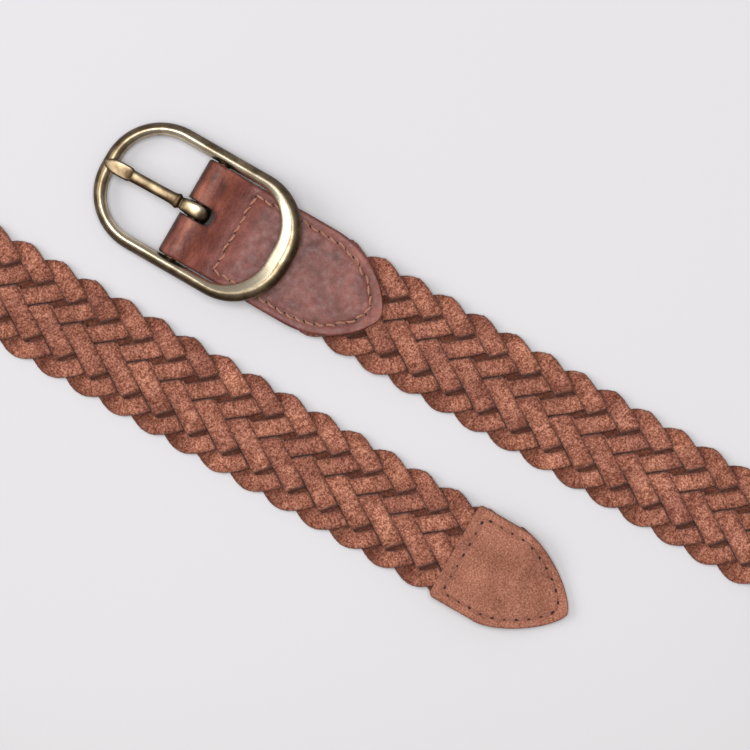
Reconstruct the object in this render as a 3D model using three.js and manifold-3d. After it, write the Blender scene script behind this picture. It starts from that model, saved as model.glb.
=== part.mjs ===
// Braided leather belt with a centre-bar buckle, laid face up with its middle standing on edge.
// Millimetres, +Z up. The strap starts at the buckle, runs towards +X, turns clockwise round a wide
// loop and comes back to run towards +X again, so that its tip lies beside the buckle end.
import * as THREE from 'three';
import { mergeVertices } from 'three/addons/utils/BufferGeometryUtils.js';
import Module from 'manifold-3d';

const wasm = await Module();
wasm.setup();
const { Manifold, Mesh: ManifoldMesh } = wasm;

// ---------- driving dimensions ----------

const clearance = 0.3;                 // gap kept between pieces that touch

// braid: seven flat laces, each over one, under two, over two, under one
const laceCount = 7;
const laceWidth = 5.3;
const laceThickness = 1.4;
const crossingLift = 1.05;             // a lace lies this far above or below the middle plane
const lobePitch = 12.8;                // distance between scallops along either edge
const levelStep = 5.06;                // distance between crossing rows across the strap
const overUnder = [0, 1, -1, -1, 1, 1, -1, 0, 1, -1, -1, 1, 1, -1];
const firstTurn = 2.3;                 // where lace_1 turns at the left edge for the first time
const braidLean = 0.305;               // laces running right lie flatter than those coming back

// leather end pieces
const chapeThickness = 1.7;
const chapeWidth = 35.2;
const chapePoint = 71.0;               // end of the chape's point, from the frame's middle
const chapeShoulder = 42.0;            // where the point starts to narrow
const chapeRounding = [2.2, 0.7];      // powers of the point's outline, see narrowedHalfWidth
const chapeValley = 13.6;              // stitched valley behind the bar
const valleyTop = 4.6;
const panelStart = 19.0;               // the front layer is level from here on
const braidStart = 19.6;
const tipThickness = 1.4;
const tipWidth = 35.2;
const tipLength = 44.1;
const tipShoulder = 25.4;              // length of the narrowing part
const tipRounding = [1.42, 0.7];
const tipY = -55.2;                    // the tip run lies beside the buckle run
const tipEndX = 175.3;
const braidEndBeforeTip = 25.0;

// buckle
const barX = -0.5;
const barRadius = 2.2;
const barHalfLength = 20.7;
const foldOuterRadius = 4.95;          // the leather's fold round the bar, which rests on the table
const frameTilt = 7.0;                 // degrees; the free end rests on the leather
const frameArch = 0.002;               // the frame's ends curve up, per mm squared
const frameOuter = { halfLength: 36.6, halfWidth: 22.85, radius: 21, middle: 0.1 };
const frameInner = { halfLength: 30, halfWidth: 18.15, radius: 15, middle: -1.3 };
// the frame band's section: share of the way from its inner to its outer edge, and height
const frameSection = [
  [0.1, 0], [0, 1.2], [0.06, 3.0], [0.36, 4.0],
  [0.66, 3.7], [0.92, 2.4], [1, 1.1], [0.88, 0],
];
const lugLength = 3.8;
const lugInset = 0.05;                 // the lugs end just outside the frame's inner edge
const frameBelowBar = 0.3;             // the frame's back face lies this far below the bar's axis
const lugRadius = 3.6;
const slotWidth = 6.2;
const slotEnd = 5.5;                   // the slot's rounded end, from the frame's middle
const prongWidth = 5.4;
const prongLoopInner = 2.55;
const prongLoopOuter = 4.7;

// stitching
const threadRadius = 0.4;
const stitchInset = 3.4;
const chapeSeamStart = 0.5;            // the cross seam, from the bottom of the valley
const tipSeamStart = 3.5;              // the cross seam, from the tip's straight edge

// the loop between the two runs, standing on edge
const rampLength = 38;                 // the strap eases in and out of each bend over this length
const bendOneStart = 236;
const bendOneRadius = 46;
const bendOneTurn = -150;              // degrees, clockwise seen from above
const bendTwoRadius = 130;
const bendTwoTurn = -90;
const bendThreeRadius = 42;
const bendThreeTurn = -120;
const bendThreeEndX = -66;
const chapeLanding = 36;               // the braid comes down to the table over this length
const tipTakeOff = 34;
const twistLength = 70;
const twistOneStart = 222;
const twistTwoEndX = -54;

// ---------- colours ----------

const suede = new THREE.MeshStandardMaterial({ color: 0x9c6a54, roughness: 0.95, metalness: 0 });
const leather = new THREE.MeshStandardMaterial({ color: 0x7a4538, roughness: 0.5, metalness: 0 });
const tipSuede = new THREE.MeshStandardMaterial({ color: 0xa2715b, roughness: 0.95, metalness: 0 });
const thread = new THREE.MeshStandardMaterial({ color: 0xa8714c, roughness: 0.8, metalness: 0 });
const brass = new THREE.MeshStandardMaterial({ color: 0x8c7c56, roughness: 0.35, metalness: 1 });

const belt = new THREE.Group();

// ---------- geometry helpers ----------

function toManifold(geometry) {
  const plain = geometry.clone();
  plain.deleteAttribute('normal');
  plain.deleteAttribute('uv');
  const welded = mergeVertices(plain, 1e-4);
  return new Manifold(new ManifoldMesh({
    numProp: 3,
    vertProperties: new Float32Array(welded.attributes.position.array),
    triVerts: new Uint32Array(welded.index.array),
  }));
}

function fromManifold(solid) {
  const mesh = solid.getMesh();
  const geometry = new THREE.BufferGeometry();
  geometry.setAttribute('position', new THREE.BufferAttribute(mesh.vertProperties, 3));
  geometry.setIndex(new THREE.BufferAttribute(mesh.triVerts, 1));
  geometry.computeVertexNormals();
  return geometry;
}

// Plain solids round the origin for cutting and joining; a rod lies along Y.
function block(sizeX, sizeY, sizeZ) {
  return toManifold(new THREE.BoxGeometry(sizeX, sizeY, sizeZ));
}

function rod(length, radius, sides) {
  return toManifold(new THREE.CylinderGeometry(radius, radius, length, sides));
}

function addPiece(parent, name, geometry, material) {
  const mesh = new THREE.Mesh(geometry, material);
  mesh.name = name;
  parent.add(mesh);
  return mesh;
}

// Volume inside a triangle mesh, negative where its faces look inwards.
function enclosedVolume(points, triangles) {
  let volume = 0;
  for (let i = 0; i < triangles.length; i += 3) {
    const [a, b, c] = [0, 1, 2].map((j) => new THREE.Vector3().fromArray(points, 3 * triangles[i + j]));
    volume += a.dot(b.cross(c)) / 6;
  }
  return volume;
}

// Joins rings of points, each with the same number of points, into one closed solid.
function loft(rings, closed = false) {
  const size = rings[0].length;
  const points = rings.flat().flatMap((point) => [point.x, point.y, point.z]);
  const triangles = [];
  const last = closed ? rings.length : rings.length - 1;
  for (let i = 0; i < last; i += 1) {
    const here = i * size;
    const next = ((i + 1) % rings.length) * size;
    for (let j = 0; j < size; j += 1) {
      const k = (j + 1) % size;
      triangles.push(here + j, here + k, next + k);
      triangles.push(here + j, next + k, next + j);
    }
  }
  if (!closed) {
    const end = (rings.length - 1) * size;
    for (let j = 1; j < size - 1; j += 1) {
      triangles.push(0, j + 1, j);
      triangles.push(end, end + j, end + j + 1);
    }
  }
  const geometry = new THREE.BufferGeometry();
  geometry.setAttribute('position', new THREE.Float32BufferAttribute(points, 3));
  geometry.setIndex(enclosedVolume(points, triangles) < 0 ? triangles.reverse() : triangles);
  geometry.computeVertexNormals();
  return geometry;
}

function smoothstep(from, to, value) {
  return THREE.MathUtils.smoothstep(value, from, to);
}

// Half width of a strap end at a share 0..1 of its narrowing part. The first power of the rounding
// keeps the outline parallel at first, the second one blunts the point.
const bluntest = 0.06;
function narrowedHalfWidth(fullWidth, share, [atStart, atPoint]) {
  const t = Math.min(Math.max(share, 0), 1);
  return (fullWidth / 2) * Math.max((1 - t ** atStart) ** atPoint, bluntest);
}

// Shares of a narrowing part, closer together towards its point.
function pointedShares(steps) {
  return Array.from({ length: steps }, (_, i) => Math.sin(((i + 1) / steps) * Math.PI / 2));
}

// ---------- the strap's route ----------

const stepLength = lobePitch / 2;      // one crossing further along the strap
const edgeLevel = (laceCount - 1) / 2;  // a lace turning at an edge, in level steps
const braidHalfWidth = edgeLevel * levelStep + laceWidth / 2;
const braidHalfThickness = crossingLift + laceThickness / 2;
const chapeBraidHeight = chapeThickness + clearance + braidHalfThickness;
const tipBraidHeight = tipThickness + clearance + braidHalfThickness;

// A bend is a ramp in, an arc and a ramp out; each piece is [length, curvature at start, at end].
function bend(degrees, radius) {
  const curvature = Math.sign(degrees) / radius;
  const arc = Math.abs(THREE.MathUtils.degToRad(degrees)) * radius - rampLength;
  return [[rampLength, 0, curvature], [arc, curvature, curvature], [rampLength, curvature, 0]];
}

function walk(pieces, step = 1) {
  const track = [{ s: 0, x: 0, y: 0, heading: 0 }];
  let here = track[0];
  for (const [length, curveIn, curveOut] of pieces) {
    const count = Math.max(1, Math.ceil(length / step));
    const ds = length / count;
    for (let i = 0; i < count; i += 1) {
      const curvature = curveIn + (curveOut - curveIn) * (i + 0.5) / count;
      const middle = here.heading + curvature * ds / 2;
      here = {
        s: here.s + ds,
        x: here.x + Math.cos(middle) * ds,
        y: here.y + Math.sin(middle) * ds,
        heading: here.heading + curvature * ds,
      };
      track.push(here);
    }
  }
  return track;
}

function routePieces(straightOne, straightTwo) {
  return [
    [bendOneStart, 0, 0],
    ...bend(bendOneTurn, bendOneRadius),
    [straightOne, 0, 0],
    ...bend(bendTwoTurn, bendTwoRadius),
    [straightTwo, 0, 0],
    ...bend(bendThreeTurn, bendThreeRadius),
    [tipEndX - bendThreeEndX, 0, 0],
  ];
}

// The two straights stand square to each other, so each closes the route along its own heading.
const shortRoute = walk(routePieces(0, 0)).at(-1);
const missing = new THREE.Vector2(tipEndX - shortRoute.x, tipY - shortRoute.y);
const headingOne = THREE.MathUtils.degToRad(bendOneTurn);
const headingTwo = THREE.MathUtils.degToRad(bendOneTurn + bendTwoTurn);
const straightOne = missing.dot(new THREE.Vector2(Math.cos(headingOne), Math.sin(headingOne)));
const straightTwo = missing.dot(new THREE.Vector2(Math.cos(headingTwo), Math.sin(headingTwo)));
const track = walk(routePieces(straightOne, straightTwo));
const strapEnd = track.at(-1).s;
const twistTwoEnd = strapEnd - (tipEndX - twistTwoEndX);
const tipStart = strapEnd - tipLength;

function trackAt(s) {
  let low = 0;
  let high = track.length - 1;
  while (high - low > 1) {
    const middle = (low + high) >> 1;
    if (track[middle].s <= s) low = middle;
    else high = middle;
  }
  const a = track[low];
  const b = track[high];
  const share = (s - a.s) / (b.s - a.s);
  return {
    x: a.x + (b.x - a.x) * share,
    y: a.y + (b.y - a.y) * share,
    heading: a.heading + (b.heading - a.heading) * share,
  };
}

// The strap rolls from face up to face out and back again.
function rollAt(s) {
  const on = smoothstep(twistOneStart, twistOneStart + twistLength, s);
  const off = smoothstep(twistTwoEnd - twistLength, twistTwoEnd, s);
  return -(Math.PI / 2) * (on - off);
}

function flatHeight(s) {
  const leavesChape = smoothstep(chapePoint, chapePoint + chapeLanding, s);
  const entersTip = smoothstep(tipStart - tipTakeOff, tipStart, s);
  const table = braidHalfThickness;
  return table + (chapeBraidHeight - table) * (1 - leavesChape) + (tipBraidHeight - table) * entersTip;
}

// Point of the strap at s along it, a across it to the left and b out of its front face.
function strapPoint(s, a, b) {
  const { x, y, heading } = trackAt(s);
  const roll = rollAt(s);
  const height = braidHalfWidth * Math.abs(Math.sin(roll)) + flatHeight(s) * Math.cos(roll);
  const across = a * Math.cos(roll) - b * Math.sin(roll);
  const up = a * Math.sin(roll) + b * Math.cos(roll);
  return new THREE.Vector3(
    x - Math.sin(heading) * across,
    y + Math.cos(heading) * across,
    height + up,
  );
}

// ---------- the seven laces ----------

const halfPeriod = laceCount;          // crossing steps from one edge to the other
const crossingAngle = 2 * Math.atan2(levelStep, stepLength);
const skewReach = (laceWidth / 2) / Math.sin(crossingAngle);

// Distance of a lace's centre line from the strap's middle, to the left, at step t.
function laceAcross(t) {
  const inPeriod = ((t % (2 * halfPeriod)) + 2 * halfPeriod) % (2 * halfPeriod);
  const fromTop = inPeriod <= halfPeriod ? inPeriod : 2 * halfPeriod - inPeriod;
  const fromEdge = Math.min(fromTop, halfPeriod - fromTop);
  if (fromEdge >= 1) return levelStep * (halfPeriod / 2 - fromTop);
  return Math.sign(halfPeriod / 2 - fromTop) * levelStep * (edgeLevel - 0.5 * fromEdge ** 2);
}

function signAt(step) {
  const period = overUnder.length;
  return overUnder[((step % period) + period) % period];
}

// Step count of a point measured along half period h, so that crossing laces give whole numbers.
function crossingCoordinate(h, u, v) {
  const direction = h % 2 === 0 ? -1 : 1;
  return (u + direction * v + halfPeriod / 2 + halfPeriod * h) / 2;
}

// How far a lace lies above (+1) or below (-1) the middle plane at a point (u, v) of it.
function liftAt(h, r, u, v) {
  const start = h * halfPeriod;
  if (r > halfPeriod - 1 || r < 1) {
    const before = r > halfPeriod - 1 ? h : h - 1;
    const turn = (before + 1) * halfPeriod;
    const left = Math.max(0, crossingCoordinate(before, u, v) - (turn - 0.6));
    const ahead = Math.max(0, turn + 0.6 - crossingCoordinate(before + 1, u, v));
    return signAt(turn - 1) + (signAt(turn + 1) - signAt(turn - 1)) * left / (left + ahead);
  }
  const coordinate = crossingCoordinate(h, u, v) - start;
  const below = Math.floor(coordinate + 1e-6);
  const share = THREE.MathUtils.clamp((coordinate - below - 0.4) / 0.2, 0, 1);
  return signAt(start + below) + (signAt(start + below + 1) - signAt(start + below)) * share;
}

// Steps of half period h at which a lace needs a section: round the turn at its start, and where
// it changes height or, if it stays level, halfway.
function sectionSteps(h) {
  const steps = [-1, -0.42, 0, 0.42, 1];
  for (let row = 1; row < halfPeriod - 1; row += 1) {
    const changes = signAt(h * halfPeriod + row) !== signAt(h * halfPeriod + row + 1);
    steps.push(...(changes ? [row + 0.4, row + 0.6] : [row + 0.5]));
  }
  return steps.map((step) => h * halfPeriod + step);
}

function laceSection(index, t) {
  const h = Math.floor(t / halfPeriod);
  const r = t - h * halfPeriod;
  const centre = new THREE.Vector2(t * stepLength, laceAcross(t));
  const side = new THREE.Vector2();
  if (r < 1 || r > halfPeriod - 1) {
    const ahead = (laceAcross(t + 0.01) - laceAcross(t - 0.01)) / 0.02;
    side.set(-ahead, stepLength).setLength(laceWidth / 2);
  } else {
    const leans = h % 2 === 0 ? 1 : -1;
    side.set(leans * stepLength, levelStep).setLength(skewReach);
  }
  const offset = firstTurn + 2 * index * stepLength;
  const corner = (sign, face) => {
    const point = centre.clone().addScaledVector(side, sign);
    const lift = liftAt(h, r, point.x / stepLength, point.y / levelStep);
    const along = point.x + offset - braidLean * point.y;
    return strapPoint(along, point.y, crossingLift * lift + face * laceThickness / 2);
  };
  return [corner(1, -1), corner(-1, -1), corner(-1, 1), corner(1, 1)];
}

// Boxes that cut the laces off square inside the chape and inside the tip.
function cutterBox(fromX, toX, y) {
  return block(toX - fromX, 50, 40).translate([(fromX + toX) / 2, y, 0]);
}
const startCutter = cutterBox(braidStart - 60, braidStart, 0);
const endCutter = cutterBox(tipEndX - braidEndBeforeTip, tipEndX + 60, tipY);

function addLace(index) {
  const offset = firstTurn + 2 * index * stepLength;
  const overshoot = 10;
  const first = (braidStart - overshoot - offset) / stepLength;
  const last = (strapEnd - braidEndBeforeTip + overshoot - offset) / stepLength;
  const steps = [];
  for (let h = Math.floor(first / halfPeriod); h <= Math.ceil(last / halfPeriod); h += 1) {
    steps.push(...sectionSteps(h).filter((t) => t >= first && t <= last));
  }
  const solid = toManifold(loft(steps.map((t) => laceSection(index, t))));
  const trimmed = solid.subtract(startCutter).subtract(endCutter);
  addPiece(belt, `lace_${index + 1}`, fromManifold(trimmed), suede);
}

for (let index = 0; index < laceCount; index += 1) addLace(index);

// ---------- the chape: one strip folded round the bar ----------

const barHeight = foldOuterRadius;
const frontMiddle = chapeBraidHeight + braidHalfThickness + clearance + chapeThickness / 2;
const backMiddle = chapeThickness / 2;
const foldMiddle = foldOuterRadius - chapeThickness / 2;
const foldTop = barHeight + foldMiddle;

// Height of the middle of the chape's front layer.
function chapeFrontHeight(x) {
  const valley = valleyTop - chapeThickness / 2;
  if (x < chapeValley) {
    const share = (x - barX) / (chapeValley - barX);
    return valley + (foldTop - valley) * (1 + Math.cos(Math.PI * share)) / 2;
  }
  return valley + (frontMiddle - valley) * smoothstep(chapeValley, panelStart, x);
}

// A strip of leather: stations give its middle line in the XZ plane, its normal and its half width.
function strip(stations, thickness, y) {
  return loft(stations.map(({ x, z, nx, nz, half }) => {
    const reach = thickness / 2;
    const corner = (side, face) =>
      new THREE.Vector3(x + nx * reach * face, y + side * half, z + nz * reach * face);
    return [corner(-1, 1), corner(1, 1), corner(1, -1), corner(-1, -1)];
  }));
}

function frontStation(x, half, heightAt) {
  const slope = (heightAt(x + 0.05) - heightAt(x - 0.05)) / 0.1;
  const length = Math.hypot(1, slope);
  return { x, z: heightAt(x), nx: -slope / length, nz: 1 / length, half };
}

function pointedEnd(shoulder, point, width, rounding, makeStation) {
  return pointedShares(9).map((share) => {
    const x = shoulder + (point - shoulder) * share;
    return makeStation(x, narrowedHalfWidth(width, share, rounding));
  });
}

function addChape() {
  const half = chapeWidth / 2;
  const onFront = (x, halfWidth) => frontStation(x, halfWidth, chapeFrontHeight);
  const onBack = (x, halfWidth) => ({ x, z: backMiddle, nx: 0, nz: -1, half: halfWidth });
  const slopes = [];
  for (let i = 0; i < 6; i += 1) slopes.push(panelStart - (panelStart - chapeValley) * i / 6);
  for (let i = 0; i < 9; i += 1) slopes.push(chapeValley - (chapeValley - barX) * i / 9);
  const fold = [];
  for (let i = 0; i <= 12; i += 1) {
    const angle = Math.PI / 2 + Math.PI * i / 12;
    const nx = Math.cos(angle);
    const nz = Math.sin(angle);
    fold.push({ x: barX + foldMiddle * nx, z: barHeight + foldMiddle * nz, nx, nz, half });
  }
  const stations = [
    ...pointedEnd(chapeShoulder, chapePoint, chapeWidth, chapeRounding, onFront).reverse(),
    onFront(chapeShoulder, half),
    ...slopes.map((x) => onFront(x, half)),
    ...fold,
    onBack(chapeShoulder, half),
    ...pointedEnd(chapeShoulder, chapePoint, chapeWidth, chapeRounding, onBack),
  ];
  const roundCentre = slotEnd - slotWidth / 2;
  const straightLength = roundCentre + 20;
  const roundedEnd = rod(40, slotWidth / 2, 20).rotate([90, 0, 0]).translate([roundCentre, 0, 0]);
  const slot = block(straightLength, slotWidth, 40)
    .translate([roundCentre - straightLength / 2, 0, 0])
    .add(roundedEnd);
  const solid = toManifold(strip(stations, chapeThickness, 0)).subtract(slot);
  addPiece(belt, 'chape', fromManifold(solid), leather);
}
addChape();

// ---------- the tip: two leather shields sewn over the braid's end ----------

const tipStraightX = tipEndX - tipLength;
const tipShoulderX = tipEndX - tipShoulder;
const tipFrontMiddle = tipBraidHeight + braidHalfThickness + clearance + tipThickness / 2;
const tipBackMiddle = tipThickness / 2;
const tipClosedMiddle = tipThickness + clearance + tipThickness / 2;

function tipFrontHeight(x) {
  const closes = smoothstep(tipEndX - braidEndBeforeTip + 1, tipEndX - 6, x);
  return tipFrontMiddle + (tipClosedMiddle - tipFrontMiddle) * closes;
}

function addTip() {
  const half = tipWidth / 2;
  const onFront = (x, halfWidth) => frontStation(x, halfWidth, tipFrontHeight);
  const onBack = (x, halfWidth) => ({ x, z: tipBackMiddle, nx: 0, nz: 1, half: halfWidth });
  for (const [name, station] of [['tip_front', onFront], ['tip_back', onBack]]) {
    const stations = [
      station(tipStraightX, half),
      station(tipShoulderX, half),
      ...pointedEnd(tipShoulderX, tipEndX, tipWidth, tipRounding, station),
    ].reverse();
    addPiece(belt, name, strip(stations, tipThickness, tipY), tipSuede);
  }
}
addTip();

// ---------- stitching: one ring of thread on each end piece ----------

function addThread(name, [startX, shoulderX, pointX], width, rounding, y, surfaceHeight) {
  const inner = width / 2 - stitchInset;
  const straightSteps = 14;
  const outline = [];
  for (let i = 0; i < straightSteps; i += 1) {
    const x = startX + (shoulderX - startX) * i / straightSteps;
    outline.push([x, inner]);
  }
  for (const share of [0, ...pointedShares(8).slice(0, -1)]) {
    const x = shoulderX + (pointX - stitchInset - shoulderX) * share;
    outline.push([x, narrowedHalfWidth(2 * inner, share, rounding)]);
  }
  outline.push([pointX - stitchInset, 0]);
  const below = outline.slice(0, -1).reverse().map(([x, across]) => [x, -across]);
  const ring = [...outline, ...below].map(([x, across]) =>
    new THREE.Vector3(x, y + across, surfaceHeight(x) + clearance + threadRadius));
  const sides = 6;
  const rings = ring.map((point, i) => {
    const before = ring[(i + ring.length - 1) % ring.length];
    const after = ring[(i + 1) % ring.length];
    const along = after.clone().sub(before).normalize();
    const out = new THREE.Vector3(along.y, -along.x, 0).normalize();
    const up = out.clone().cross(along);
    return Array.from({ length: sides }, (_, j) => {
      const angle = 2 * Math.PI * j / sides;
      return point.clone()
        .addScaledVector(out, threadRadius * Math.cos(angle))
        .addScaledVector(up, threadRadius * Math.sin(angle));
    });
  });
  addPiece(belt, name, loft(rings, true), thread);
}

const frontFace = (x) => chapeFrontHeight(x) + chapeThickness / 2;
const tipFace = (x) => tipFrontHeight(x) + tipThickness / 2;
const chapeSeam = [chapeValley + chapeSeamStart, chapeShoulder, chapePoint];
const tipSeam = [tipStraightX + tipSeamStart, tipShoulderX, tipEndX];
addThread('chape_thread', chapeSeam, chapeWidth, chapeRounding, 0, frontFace);
addThread('tip_thread', tipSeam, tipWidth, tipRounding, tipY, tipFace);

// ---------- the buckle: frame, centre bar and prong ----------

const buckle = new THREE.Group();
buckle.position.set(barX, 0, barHeight);
buckle.rotation.y = -THREE.MathUtils.degToRad(frameTilt);
belt.add(buckle);

// Points of a rounded rectangle, counter-clockwise from its right end, from the bar's middle.
const cornerSteps = 11;
const sideSteps = 5;
function outlinePoints({ halfLength, halfWidth, radius, middle }) {
  const points = [];
  const reachX = halfLength - radius;
  const reachY = halfWidth - radius;
  for (let quarter = 0; quarter < 4; quarter += 1) {
    const signX = quarter === 0 || quarter === 3 ? 1 : -1;
    const signY = quarter < 2 ? 1 : -1;
    for (let i = 0; i <= cornerSteps; i += 1) {
      const angle = (quarter + i / cornerSteps) * Math.PI / 2;
      const outwards = new THREE.Vector2(Math.cos(angle), Math.sin(angle));
      points.push(new THREE.Vector2(signX * reachX, signY * reachY).addScaledVector(outwards, radius));
    }
    if (quarter % 2 === 0) {
      for (let i = 1; i < sideSteps; i += 1) {
        points.push(new THREE.Vector2(signX * reachX * (1 - 2 * i / sideSteps), signY * halfWidth));
      }
    }
  }
  return points.map((point) => point.add(new THREE.Vector2(middle - barX, 0)));
}

function addFrame() {
  const outer = outlinePoints(frameOuter);
  const rings = outlinePoints(frameInner).map((inner, i) => frameSection.map(([share, height]) => {
    const point = inner.clone().lerp(outer[i], share);
    return new THREE.Vector3(point.x, point.y, height - frameBelowBar + frameArch * point.x ** 2);
  }));
  let solid = toManifold(loft(rings, true));
  for (const side of [-1, 1]) {
    const lugMiddle = side * (frameInner.halfWidth + lugInset + lugLength / 2);
    solid = solid.add(rod(lugLength, lugRadius, 24).translate([0, lugMiddle, 0]));
  }
  const hole = rod(2 * (barHalfLength + clearance), barRadius + clearance, 24);
  addPiece(buckle, 'buckle_frame', fromManifold(solid.subtract(hole)), brass);
}
addFrame();

const barGeometry = new THREE.CylinderGeometry(barRadius, barRadius, 2 * barHalfLength, 24);
addPiece(buckle, 'centre_bar', barGeometry, brass);

// The prong: a strip looped round the bar, with a shaft, a collar and a flattened spear tip that
// rests on the frame's plain end.
function addProng() {
  const loop = rod(prongWidth, prongLoopOuter, 28).subtract(rod(prongWidth + 2, prongLoopInner, 28));
  // stations along the shaft: distance from the bar, height of the underside, half width, thickness
  const stations = [
    [0.6, 2.75, 2.3, 1.9],
    [-5.0, 2.75, 2.3, 1.9],
    [-5.4, 2.6, 2.7, 2.4],
    [-7.6, 2.6, 2.7, 2.4],
    [-8.1, 2.75, 2.2, 2.1],
    [-25.0, 2.6, 2.2, 2.1],
    [-25.3, 2.55, 2.55, 1.9],
    [-31.0, 2.5, 2.5, 1.8],
    [-34.2, 2.5, 1.5, 1.4],
    [-35.3, 2.6, 0.5, 0.9],
  ];
  const rings = stations.map(([x, bottom, half, thickness]) => {
    const top = bottom + thickness;
    const shoulder = bottom + 0.6 * thickness;
    return [
      new THREE.Vector3(x, -half, bottom),
      new THREE.Vector3(x, half, bottom),
      new THREE.Vector3(x, half, shoulder),
      new THREE.Vector3(x, 0.55 * half, top),
      new THREE.Vector3(x, -0.55 * half, top),
      new THREE.Vector3(x, -half, shoulder),
    ];
  });
  const shaft = toManifold(loft(rings));
  const prong = addPiece(belt, 'prong', fromManifold(loop.add(shaft)), brass);
  prong.position.set(barX, 0, barHeight);
}
addProng();

// ---------- the origin: middle of the footprint, on the table ----------

belt.updateMatrixWorld(true);
const bounds = new THREE.Box3().setFromObject(belt, true);
const centre = bounds.getCenter(new THREE.Vector3());
belt.position.set(-centre.x, -centre.y, -bounds.min.z);

export default belt;
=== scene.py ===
# The braided leather belt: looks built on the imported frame, laid out as in the CAD model.
import math
import random

import bpy
import numpy as np
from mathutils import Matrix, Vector, noise


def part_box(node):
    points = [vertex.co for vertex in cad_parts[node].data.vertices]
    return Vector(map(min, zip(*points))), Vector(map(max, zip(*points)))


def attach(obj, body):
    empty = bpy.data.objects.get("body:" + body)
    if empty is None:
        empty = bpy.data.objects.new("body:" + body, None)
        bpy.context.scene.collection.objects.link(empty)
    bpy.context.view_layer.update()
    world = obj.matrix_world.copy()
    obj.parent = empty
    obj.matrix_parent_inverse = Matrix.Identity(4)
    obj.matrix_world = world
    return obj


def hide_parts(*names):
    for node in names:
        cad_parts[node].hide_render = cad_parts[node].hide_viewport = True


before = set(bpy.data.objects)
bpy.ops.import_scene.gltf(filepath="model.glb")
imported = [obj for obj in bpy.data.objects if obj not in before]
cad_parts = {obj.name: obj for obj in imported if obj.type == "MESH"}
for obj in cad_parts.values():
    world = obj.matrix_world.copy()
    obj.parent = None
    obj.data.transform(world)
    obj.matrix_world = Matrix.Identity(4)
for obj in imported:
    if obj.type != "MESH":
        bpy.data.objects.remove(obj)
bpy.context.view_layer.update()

MM = 0.001  # the script's own lengths are millimetres; meshes are in metres


# ---------- places taken from the frame ----------

def box_mm(node):
    low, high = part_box(node)
    return np.array(low) / MM, np.array(high) / MM


bar_low, bar_high = box_mm("centre_bar")
_, chape_high = box_mm("chape")
tip_low, tip_high = box_mm("tip_back")
BAR = (bar_low + bar_high) / 2

# ---------- driving dimensions, measured from the middle of the buckle's frame ----------

BAR_X = -0.5
ORIGIN = np.array([BAR[0] - BAR_X, BAR[1], 0.0])
TIP_Y = (tip_low[1] + tip_high[1]) / 2 - ORIGIN[1]
TIP_END_X = tip_high[0] - ORIGIN[0]
TIP_LENGTH = tip_high[0] - tip_low[0]
TIP_WIDTH = tip_high[1] - tip_low[1]
CHAPE_POINT = chape_high[0] - ORIGIN[0]
BAR_RADIUS = (bar_high[2] - bar_low[2]) / 2
FOLD_RADIUS = BAR[2]

# the braid
LACES = 7
LACE_WIDTH = 6.9
RETURN_WIDTH = 5.65  # on the way back a lace is drawn narrower
HIDDEN_EXTRA = 0.6  # a lace lies flatter and wider where another one presses on it
HIDDEN_RETURN_EXTRA = 2.5
LACE_THICKNESS = 1.6
LIFT = 0.95  # a lace lies this far above or below the braid's middle plane
BULGE = 0.15  # a long exposed stretch of a lace stands this much higher
WANDER = 0.12  # slow unevenness in height, over about WANDER_SIZE
WANDER_SIZE = 7.0
RAGGED = 0.07  # unevenness of a lace's cut edges
PITCH = 12.8  # distance between scallops
STEP = PITCH / 2
LACE_STATION = 0.06  # distance between a lace's cross sections, in steps
FIRST_TURN = 2.3  # where the first lace turns at the left edge
LEAN = 0.305  # the pattern leans: laces running right lie flatter than those coming back
LEVELS = [14.6, 11.7, 6.9, 2.9, -1.3, -6.3, -11.6, -14.6]  # centre line at each crossing
LEVEL_STEP = 5.0  # spacing beyond the outermost crossings
OVER_UNDER = [0, 1, -1, -1, 1, 1, -1, 0, 1, -1, -1, 1, 1, -1]  # out and back
TURN_REACH = 0.72  # a lace changes height within this many steps of its turn
EDGE_REACH = 17.85
HALF_THICKNESS = 1.75
CHAPE_BRAID_HEIGHT = 3.75  # height of the braid's middle between the chape's layers
TIP_BRAID_HEIGHT = 3.45
CHAPE_DESCENT = 36  # lengths over which the braid comes down to the table
TIP_DESCENT = 34
BRAID_START = 19.6
BRAID_END_BEFORE_TIP = 25.0

# the loop between the runs
RAMP = 38  # length over which a bend's curvature builds up
BEND_ONE_START = 236
BEND_RADII = (46, 130, 42)
BEND_TURNS = (-150, -90, -120)
BEND_THREE_END_X = -66
TWIST_LENGTH = 70
TWIST_ONE_START = 222
TWIST_TWO_END_X = -54

rng = random.Random(7)


# ---------- the strap's route ----------

def bend(degrees, radius):
    """Pieces of (length, curvature in, curvature out) for a turn that starts and ends gently."""
    turn = math.radians(degrees)
    curvature = math.copysign(1 / radius, turn)
    arc = abs(turn) * radius - RAMP
    return [(RAMP, 0, curvature), (arc, curvature, curvature), (RAMP, curvature, 0)]


def walk(pieces):
    """Rows of distance, x, y and heading along pieces of (length, curvature in, curvature out)."""
    rows = [(0.0, 0.0, 0.0, 0.0)]
    for length, curve_in, curve_out in pieces:
        count = max(1, math.ceil(length))
        ds = length / count
        for i in range(count):
            s, x, y, heading = rows[-1]
            curvature = curve_in + (curve_out - curve_in) * (i + 0.5) / count
            middle = heading + curvature * ds / 2
            x += math.cos(middle) * ds
            y += math.sin(middle) * ds
            rows.append((s + ds, x, y, heading + curvature * ds))
    return np.array(rows)


def route(straight_one, straight_two):
    one, two, three = [bend(turn, radius) for turn, radius in zip(BEND_TURNS, BEND_RADII)]
    last = [(TIP_END_X - BEND_THREE_END_X, 0, 0)]
    return [(BEND_ONE_START, 0, 0), *one, (straight_one, 0, 0), *two, (straight_two, 0, 0), *three, *last]


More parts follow.
